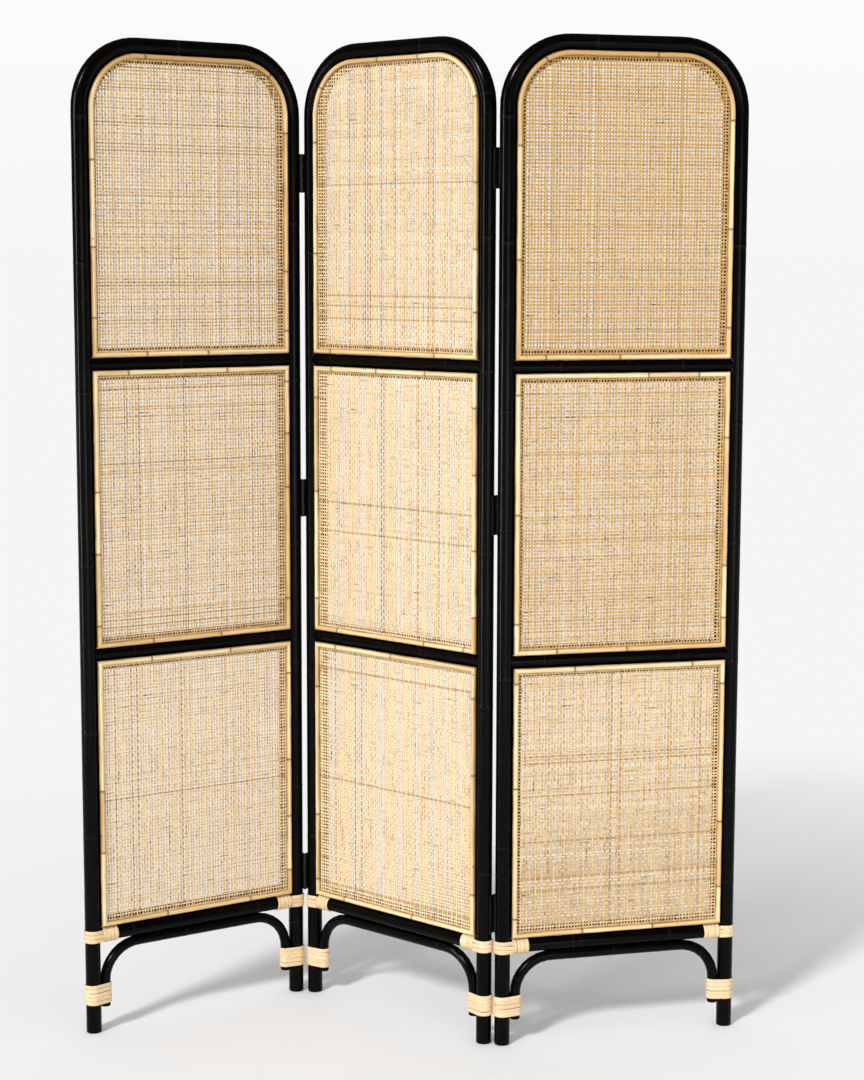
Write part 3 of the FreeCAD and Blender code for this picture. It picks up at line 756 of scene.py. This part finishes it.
# The three screw heads of a leaf: low domes over a skirt, sunk where a point is near a line of the cross
def screwShape():
    look = screwLook
    inset, drop = look["skirt"]
    radii = np.array([look["radius"] - inset, look["radius"], *look["rings"]])
    across, up = ringsOf(radii, hingeSizes["roundSteps"])
    rise = look["dome"] * (1 - (radii / look["radius"]) ** 2)[:, None]
    near = np.minimum(np.abs(across), np.abs(up)) < look["slotHalf"]
    sunk = near & (radii < look["slotReach"])[:, None]
    out = hingeSizes["seat"] + hingeSizes["leaf"] + rise - look["slotDepth"] * sunk
    out[0] -= drop
    grid = np.stack([out, across, up], -1)
    heads = [skin(grid + [0.0, 0.0, step * look["spacing"]], 0.0, 0.0, 0.5) for step in (-1, 0, 1)]
    return joinShapes(heads)


# Sockets of a node, each linked to another node's output or set to a constant
def feed(node, inputs):
    for label, value in inputs.items():
        if isinstance(value, bpy.types.NodeSocket):
            node.id_data.links.new(value, node.inputs[label])
        else:
            node.inputs[label].default_value = value


# A shader node with its settings and inputs
def addNode(tree, kind, inputs=None, **settings):
    node = tree.nodes.new(kind)
    for key, value in settings.items():
        setattr(node, key, value)
    feed(node, inputs or {})
    return node


# First colour at factor 0, second at factor 1
def colourMix(factor, first, second):
    inputs = {0: factor, 6: first, 7: second}
    return addNode(factor.id_data, "ShaderNodeMix", inputs, data_type="RGBA").outputs[2]


# First shader at factor 0, second at factor 1
def shaderMix(factor, first, second):
    inputs = {0: factor, 1: first.outputs[0], 2: second.outputs[0]}
    return addNode(factor.id_data, "ShaderNodeMixShader", inputs).outputs[0]


# Two numbers by a Math operation
def sums(operation, first, second=0.0):
    inputs = {0: first, 1: second}
    return addNode(first.id_data, "ShaderNodeMath", inputs, operation=operation).outputs[0]


# A value's range from low to high, spread onto another range and held to it
def spread(value, low, high, toLow=0.0, toHigh=1.0):
    inputs = dict(enumerate((value, low, high, toLow, toHigh)))
    return addNode(value.id_data, "ShaderNodeMapRange", inputs).outputs[0]


# An attribute of the mesh: Fac for a number, Vector for three
def readAttribute(tree, name, output="Fac"):
    return addNode(tree, "ShaderNodeAttribute", attribute_name=name).outputs[output]


# A vector as its three numbers. The grain's are across, through and along the fibre.
def partsOf(vector):
    return addNode(vector.id_data, "ShaderNodeSeparateXYZ", {0: vector}).outputs


# A node group with number inputs, and one number output named Mask
def maskGroup(name, numbers):
    group = bpy.data.node_groups.new(name, "ShaderNodeTree")
    for label, value in numbers.items():
        group.interface.new_socket(label, in_out="INPUT", socket_type="NodeSocketFloat").default_value = value
    group.interface.new_socket("Mask", in_out="OUTPUT", socket_type="NodeSocketFloat")
    return group, addNode(group, "NodeGroupInput"), addNode(group, "NodeGroupOutput")


# Streaks along the fibre: noise on the grain, drawn out lengthwise
def makeStreakGroup():
    group, given, result = maskGroup("fibreStreaks", {"Scale": 0.9, "Stretch": 0.03, "Detail": 4.0})
    across, through, along = partsOf(readAttribute(group, "grain", "Vector"))
    inputs = {0: across, 1: through, 2: sums("MULTIPLY", along, given.outputs["Stretch"])}
    inputs = {"Vector": addNode(group, "ShaderNodeCombineXYZ", inputs).outputs[0]}
    for label in ("Scale", "Detail"):
        inputs[label] = given.outputs[label]
    feed(result, {0: addNode(group, "ShaderNodeTexNoise", inputs).outputs[0]})
    return group


# Patches that cover a chosen share: noise on the grain, cut at a level over a soft edge
def makePatchGroup():
    group, given, result = maskGroup("patches", {"Scale": 0.1, "Level": 0.6, "Softness": 0.05})
    inputs = {"Vector": readAttribute(group, "grain", "Vector"), "Scale": given.outputs["Scale"]}
    noise = addNode(group, "ShaderNodeTexNoise", inputs)
    top = sums("ADD", given.outputs["Level"], given.outputs["Softness"])
    feed(result, {0: spread(noise.outputs[0], given.outputs["Level"], top)})
    return group


streakGroup = makeStreakGroup()
patchGroup = makePatchGroup()


# The mask of a group placed in a material with its own numbers
def useGroup(tree, group, numbers):
    return addNode(tree, "ShaderNodeGroup", numbers, node_tree=group).outputs[0]


# A material of one Principled surface
def newMaterial(name):
    material = bpy.data.materials.new(name)
    material.use_nodes = True
    tree = material.node_tree
    tree.nodes.clear()
    surface = addNode(tree, "ShaderNodeBsdfPrincipled")
    addNode(tree, "ShaderNodeOutputMaterial", {0: surface.outputs[0]})
    return material, tree, surface


# A surface's colour, and by the streaks its roughness from low to high and its relief in metres
def dress(surface, colour, streaks, look):
    feed(surface, {"Base Color": colour, "Roughness": spread(streaks, *look["roughness"])})
    if "bump" in look:
        inputs = {"Height": streaks, "Strength": 1.0, "Distance": look["bump"]}
        bump = addNode(surface.id_data, "ShaderNodeBump", inputs)
        feed(surface, {"Normal": bump.outputs[0]})


# In a look, two numbers are the range of a mask that becomes 0 to 1, and four give both ranges
paintLook = {
    "paint": (0.0013, 0.0011, 0.0009, 1),
    "worn": (0.012, 0.008, 0.005, 1),
    "nodeRing": (0.009, 0.006, 0.004, 1),
    "ringShare": 0.8,
    "streaks": {"Scale": 0.55, "Stretch": 0.02},
    "wear": {"Scale": 0.12, "Level": 0.68, "Softness": 0.08},
    "roughness": (0.3, 0.7, 0.13, 0.26),
    "surface": {"Specular IOR Level": 0.075},
    "bump": 0.00012,
}


# Satin black paint on rattan: fibre streaks show in gloss and relief, and the nodes wear brown
def makeBlackPaint():
    look = paintLook
    material, tree, surface = newMaterial("blackPaint")
    streaks = useGroup(tree, streakGroup, look["streaks"])
    worn = useGroup(tree, patchGroup, look["wear"])
    ring = sums("MULTIPLY", readAttribute(tree, "mark"), look["ringShare"])
    colour = colourMix(sums("MULTIPLY", worn, streaks), look["paint"], look["worn"])
    colour = colourMix(ring, colour, look["nodeRing"])
    dress(surface, colour, streaks, look)
    feed(surface, look["surface"])
    return material


trimLook = {
    "pale": (0.90, 0.71, 0.40, 1),
    "honey": (0.56, 0.33, 0.10, 1),
    "rimShade": (0.20, 0.09, 0.025, 1),
    "node": (0.08, 0.03, 0.01, 1),
    "paintMark": (0.02, 0.016, 0.014, 1),
    "streaks": {"Scale": 0.5, "Stretch": 0.025},
    "broad": {"Scale": 0.02, "Level": 0.4, "Softness": 0.25},
    "spots": {"Scale": 0.17, "Level": 0.735, "Softness": 0.02},
    "toneShare": 0.75,
    "mottle": (0.3, 0.72, -0.35, 0.45),
    "rimShadeFrom": (2.2, 4.9),
    "rimShadeShare": (0.0, 1.0, 0.6, 1.0),
    "nodeShare": 0.9,
    "roughness": (0.3, 0.7, 0.28, 0.45),
    "bump": 0.00015,
}


# Natural rattan under clear varnish: pale and honey streaks, honey also as painted shade where the tone
# carries it, rims darkened as painted shade, nodes brown, a few black paint marks
def makeHoney():
    look = trimLook
    material, tree, surface = newMaterial("honeyRattan")
    streaks = useGroup(tree, streakGroup, look["streaks"])
    broad = useGroup(tree, patchGroup, look["broad"])
    own = sums("MULTIPLY", readAttribute(tree, "toneAndShade"), look["toneShare"])
    shade = sums("ADD", own, spread(streaks, *look["mottle"]))
    colour = colourMix(spread(shade, 0.0, 1.0), look["pale"], look["honey"])
    across = partsOf(readAttribute(tree, "grain", "Vector"))[0]
    fromCrown = sums("ABSOLUTE", sums("SUBTRACT", across, trimSection["inward"]))
    # Painted shade: the trim darkens towards both edges, as a contact shadow against the cane and the pole
    rimShade = spread(fromCrown, *look["rimShadeFrom"])
    rimShade = sums("MULTIPLY", rimShade, spread(broad, *look["rimShadeShare"]))
    colour = colourMix(rimShade, colour, look["rimShade"])
    ring = sums("MULTIPLY", readAttribute(tree, "mark"), look["nodeShare"])
    colour = colourMix(ring, colour, look["node"])
    spots = useGroup(tree, patchGroup, look["spots"])
    colour = colourMix(spots, colour, look["paintMark"])
    dress(surface, colour, streaks, look)
    return material


peelLook = {
    "straw": (0.83, 0.64, 0.405, 1),
    "tan": (0.66, 0.45, 0.22, 1),
    "stain": (0.34, 0.17, 0.06, 1),
    "streaks": {"Scale": 1.4, "Stretch": 0.03},
    "stains": {"Scale": 0.12, "Level": 0.66, "Softness": 0.06},
    "toneShare": 0.45,
    "streaked": (0.42, 0.75, 0.0, 0.7),
    "stainShare": 0.6,
    "roughness": (0.3, 0.7, 0.32, 0.5),
    "bump": 0.0001,
}


# Glossy outer skin of rattan: straw with finer streaks, each turn of its own tone, a few stains
def makePeel():
    look = peelLook
    material, tree, surface = newMaterial("rattanPeel")
    streaks = useGroup(tree, streakGroup, look["streaks"])
    toneAndShade = sums("MULTIPLY", readAttribute(tree, "toneAndShade"), look["toneShare"])
    colour = colourMix(toneAndShade, look["straw"], look["tan"])
    colour = colourMix(spread(streaks, *look["streaked"]), colour, look["tan"])
    stains = useGroup(tree, patchGroup, look["stains"])
    colour = colourMix(sums("MULTIPLY", stains, look["stainShare"]), colour, look["stain"])
    dress(surface, colour, streaks, look)
    return material


caneLook = {
    "uprightPale": (0.86, 0.66, 0.34, 1),
    "uprightDark": (0.54, 0.34, 0.08, 1),
    "levelPale": (0.90, 0.69, 0.45, 1),
    "levelDark": (0.54, 0.30, 0.09, 1),
    "edge": (0.20, 0.105, 0.04, 1),
    "brown": (0.29, 0.125, 0.033, 1),
    "speck": (0.02, 0.014, 0.01, 1),
    "streaks": {"Scale": 0.35, "Stretch": 0.35},
    "reaches": {"Scale": 0.7, "Stretch": 0.016, "Detail": 1.0},
    "parts": {"Scale": 0.7, "Stretch": 0.035, "Detail": 1.0},
    "short": {"Scale": 0.9, "Stretch": 0.05, "Detail": 1.0},
    "specks": {"Scale": 0.35, "Level": 0.76, "Softness": 0.03},
    "mottle": (0.3, 0.7, -0.35, 0.35),
    "brownFrom": (1.9, 2.3),
    "brownParts": (0.5, 0.56),
    "brownShare": (0.42, 0.58, 0.2, 0.55),
    "edgeFrom": (0.35, 1.0),
    "edgeShare": (0.0, 1.0, 0.60, 0.45),
    "dashes": (0.62, 0.70, 0.0, 0.8),
    "lines": (0.55, 0.66),
    "lineShare": (0.0, 1.0, 0.5, 0.0),
    "blackDashes": (0.69, 0.73, 0.0, 0.85),
    "roughness": (0.3, 0.7, 0.45, 0.6),
}


# Cane strands: upright ones olive, level ones pinkish, each of its own tone, which also carries the section's
# painted shade, mottled, and painted darker to the edges as shade on their sides.
# Some are brown in parts, brown dashes and lines run along others, and a few marks are nearly black.
def makeCane():
    look = caneLook
    material, tree, surface = newMaterial("wovenCane")
    streaks, reaches, parts, short = (
        useGroup(tree, streakGroup, look[key]) for key in ("streaks", "reaches", "parts", "short"))
    specks = useGroup(tree, patchGroup, look["specks"])
    level = readAttribute(tree, "mark")
    mottle = spread(streaks, *look["mottle"])
    shade = sums("ADD", readAttribute(tree, "toneAndShade"), mottle)
    pale = colourMix(level, look["uprightPale"], look["levelPale"])
    dark = colourMix(level, look["uprightDark"], look["levelDark"])
    colour = colourMix(spread(shade, 0.0, 1.0), pale, dark)
    broken = spread(streaks, *look["brownShare"])
    broken = sums("MULTIPLY", broken, spread(parts, *look["brownParts"]))
    brown = sums("MULTIPLY", broken, spread(shade, *look["brownFrom"]))
    colour = colourMix(brown, colour, look["brown"])
    through = partsOf(readAttribute(tree, "grain", "Vector"))[1]
    # Painted shade: the strands darken towards their edges, where their sides turn from the light
    edge = spread(sums("ABSOLUTE", through), *look["edgeFrom"])
    edge = sums("MULTIPLY", edge, spread(level, *look["edgeShare"]))
    colour = colourMix(edge, colour, look["edge"])
    colour = colourMix(spread(short, *look["dashes"]), colour, look["brown"])
    most = spread(level, *look["lineShare"])
    colour = colourMix(spread(reaches, *look["lines"], 0.0, most), colour, look["brown"])
    black = sums("MAXIMUM", specks, spread(parts, *look["blackDashes"]))
    colour = colourMix(black, colour, look["speck"])
    dress(surface, colour, streaks, look)
    return material


steelLook = {
    "steel": (0.014, 0.014, 0.015, 1),
    "rubbed": (0.10, 0.095, 0.09, 1),
    "patches": (0.6, 0.75, 0.0, 0.6),
    "patchScale": 220.0,
    "surface": {"Metallic": 0.6, "Roughness": 0.4},
}


# Black lacquered steel, rubbed a little in patches. The patches lie on the object's own coordinates.
def makeSteel():
    look = steelLook
    material, tree, surface = newMaterial("hingeSteel")
    inputs = {"Vector": addNode(tree, "ShaderNodeTexCoord").outputs["Object"], "Scale": look["patchScale"]}
    noise = addNode(tree, "ShaderNodeTexNoise", inputs)
    rubbed = spread(noise.outputs[0], *look["patches"])
    feed(surface, look["surface"])
    feed(surface, {"Base Color": colourMix(rubbed, look["steel"], look["rubbed"])})
    return material


# The material of each slot
slotLooks = {
    "black_rattan": makeBlackPaint(),
    "natural_rattan": makeHoney(),
    "rattan_peel": makePeel(),
    "woven_cane": makeCane(),
    "hinge_steel": makeSteel(),
}
slotLooks["hinge_screw_steel"] = slotLooks["hinge_steel"]
print("materials made")


# How dark the cane of each panel is, upper, middle and lower section: partly its aged colour, and partly
# painted light and shade, darker towards the top and paler towards the bottom
caneAgeAndShade = {"left": (0.50, 0.42, 0.12), "middle": (0.25, 0.02, -0.25), "right": (1.00, 0.72, 0.42)}

# How full the strands of each panel have swollen, as a share of their width
caneFullness = {"left": 1.0, "middle": 1.07, "right": 1.10}

# Painted shade: how much darker the trim is painted along the round top of each panel, where the pole above
# shades it
trimPaintedShade = {"left": 1.4, "middle": 0.55, "right": 1.5}


# The first panel's seed. The others count on from it.
firstSeed = 41


# Every piece of one panel
def buildPanel(panel, seed):
    sizes = panelSizes
    spacing = sizes["halfSpacing"]
    random = np.random.default_rng(seed)

    # A piece of this panel, with its own name and those of its CAD nodes given without the panel's
    def add(name, shape, slot, *nodes, sharp=32):
        full = [panel + "_" + node for node in nodes]
        return newPiece(panel + "_" + name, panel, shape, slot, full, sharp)

    pole = hoopRod(
        spacing, 0.0, sizes["poleTop"], sizes["poleBend"], sizes["poleRadius"], random, poleFlats(panel))
    add("bent_pole", pole, "black_rattan", "pole")
    for bar, height, radius in (
        ("upper_bar", sizes["upperBar"], sizes["barRadius"]),
        ("lower_bar", sizes["lowerBar"], sizes["barRadius"]),
        ("bottom_rail", sizes["rail"], sizes["railRadius"]),
    ):
        add("coped_" + bar, crossBar(height, radius, random), "black_rattan", bar)
    arch = hoopRod(
        spacing - archInset, sizes["archFoot"], archTop, sizes["archBend"], sizes["archRadius"], random)
    add("bent_arch", arch, "black_rattan", "foot_arch")
    for (name, opening), ageAndShade in zip(openings.items(), caneAgeAndShade[panel]):
        backing = edgeRods(opening, backingSection, random)
        add(name + "_backing_rods", backing, "black_rattan", name + "_backing")
        trim = edgeRods(opening, trimSection, random, trimPaintedShade[panel])
        add(name + "_trim_rods", trim, "natural_rattan", name + "_trim")
        shape = weaveShape(opening, ageAndShade, caneFullness[panel], random)
        weave = add(name + "_cane_weave", shape, "woven_cane", name + "_cane", sharp=weaveLook["sharp"])
        margin = weaveLook["margin"]
        height = opening["top"] - opening["bottom"] - 2 * margin
    add("rail_peel", railBindings(random), "rattan_peel", "rail_bindings")
    add("foot_peel", footBindings(random), "rattan_peel", "foot_bindings")
    spots = [spot for post in hingedPosts[panel] for spot in hingePlaces(*post)]
    leaves = joinShapes([placed(leafShape(panel != "middle"), *spot) for spot in spots])
    screws = joinShapes([placed(screwShape(), *spot) for spot in spots])
    plates = ["left_hinge_leaves", "right_hinge_leaves"]
    if panel != "middle":
        plates = ["hinge_leaves"]
        pins = joinShapes([placed(pinShape(), *spot) for spot in spots])
        add("pins", pins, "hinge_steel", "hinge_pins")
    add("plates", leaves, "hinge_steel", *plates)
    add("heads", screws, "hinge_screw_steel", "hinge_screws")
    print("built panel", panel)


for number, panel in enumerate(hingedPosts):
    buildPanel(panel, firstSeed + number)

# The screws inside the frame keep their CAD shape and take the steel
for name, node in frame["nodes"].items():
    if "frame_screws" in name:
        node.data.materials.clear()
        node.data.materials.append(slotLooks["hinge_steel"])

stageLook = {
    "floor": {"Base Color": (0.792, 0.802, 0.820, 1), "Roughness": 0.9, "Specular IOR Level": 0.1},
    "floorReach": 40,
    "fade": (0.75, 2.8),
    "horizon": 0.915,
    "zenith": 0.975,
    "zenithRise": 0.12,
    "ambient": 0.64,
    "mirrored": 0.10,
    "key": {"turn": 34.0, "rise": 36.0, "width": 9.0, "power": 2.5},
    "fill": {"place": (1.8, -4.8, 0.5), "size": (2.5, 2.5), "power": 68.0},
    "sheen": {"place": (-3.2, -1.6, 1.3), "size": (0.45, 3.2), "power": 105.0},
    "aim": (0.0, 0.0, 0.9),
}


# Floor that is pale near the object and, to the camera, fades to the white behind it
def buildFloor():
    look = stageLook
    reach = look["floorReach"]
    mesh = bpy.data.meshes.new("floor")
    corners = [(-reach, -reach, 0), (reach, -reach, 0), (reach, reach, 0), (-reach, reach, 0)]
    mesh.from_pydata(corners, [], [(0, 1, 2, 3)])
    material, tree, surface = newMaterial("paleFloor")
    feed(surface, look["floor"])
    place = addNode(tree, "ShaderNodeTexCoord").outputs["Object"]
    away = addNode(tree, "ShaderNodeVectorMath", {0: place}, operation="LENGTH")
    fade = spread(away.outputs["Value"], *look["fade"])
    seen = sums("MULTIPLY", fade, addNode(tree, "ShaderNodeLightPath").outputs["Is Camera Ray"])
    white = addNode(tree, "ShaderNodeEmission", {"Strength": look["horizon"]})
    output = next(node for node in tree.nodes if node.type == "OUTPUT_MATERIAL")
    feed(output, {0: shaderMix(seen, surface, white)})
    mesh.materials.append(material)
    addObject("floor", mesh)


# World: white to the camera, dim in reflections, and a softer grey-white light on everything else
def buildWorld():
    look = stageLook
    world = bpy.data.worlds.new("studio")
    world.use_nodes = True
    bpy.context.scene.world = world
    tree = world.node_tree
    tree.nodes.clear()
    rays = addNode(tree, "ShaderNodeLightPath").outputs
    lit = spread(rays["Is Glossy Ray"], 0.0, 1.0, look["ambient"], look["mirrored"])
    height = partsOf(addNode(tree, "ShaderNodeTexCoord").outputs["Generated"])[2]
    rise = spread(height, 0.0, look["zenithRise"], look["horizon"], look["zenith"])
    light, white = (
        addNode(tree, "ShaderNodeBackground", {"Color": (1, 1, 1, 1), "Strength": strength})
        for strength in (lit, rise))
    addNode(tree, "ShaderNodeOutputWorld", {0: shaderMix(rays["Is Camera Ray"], light, white)})


# A far soft light: turned left of the camera, raised, and as wide in the sky as its angle says
def farLight(name, turn, rise, width, power):
    data = bpy.data.lights.new(name, "SUN")
    data.angle = math.radians(width)
    data.energy = power
    light = addObject(name, data)
    light.rotation_euler = (math.radians(90 - rise), 0.0, math.radians(-turn))


# A soft light of a width and a height, turned to face the point it aims at
def softLight(name, place, size, power):
    data = bpy.data.lights.new(name, "AREA")
    data.shape = "RECTANGLE"
    data.size, data.size_y = size
    data.energy = power
    light = addObject(name, data)
    light.location = place
    light.visible_camera = False
    toward = np.array(stageLook["aim"]) - np.array(place)
    tilt = math.acos(-toward[2] / np.linalg.norm(toward))
    light.rotation_euler = (tilt, 0.0, math.atan2(-toward[0], toward[1]))
    return light


cameraLook = {
    "place": (0.03565, -4.0024, 1.400),
    "down": 7.23,
    "roll": 0.14,
    "lens": 74.3,
    "sensor": 36.0,
}


# The camera of the photograph: level with the row, tipped down and rolled a little
def buildCamera():
    look = cameraLook
    data = bpy.data.cameras.new("camera")
    data.lens = look["lens"]
    data.sensor_width = look["sensor"]
    camera = addObject("camera", data)
    camera.location = look["place"]
    camera.rotation_euler = (math.radians(90 - look["down"]), math.radians(-look["roll"]), 0.0)
    bpy.context.scene.camera = camera


buildFloor()
buildWorld()
farLight("key", **stageLook["key"])
softLight("fill", **stageLook["fill"])

# The sheen shows in the gloss only, as a tall window would
sheen = softLight("sheen", **stageLook["sheen"])
sheen.visible_diffuse = False
buildCamera()
bpy.context.scene.view_settings.view_transform = "Standard"
print("stage set")
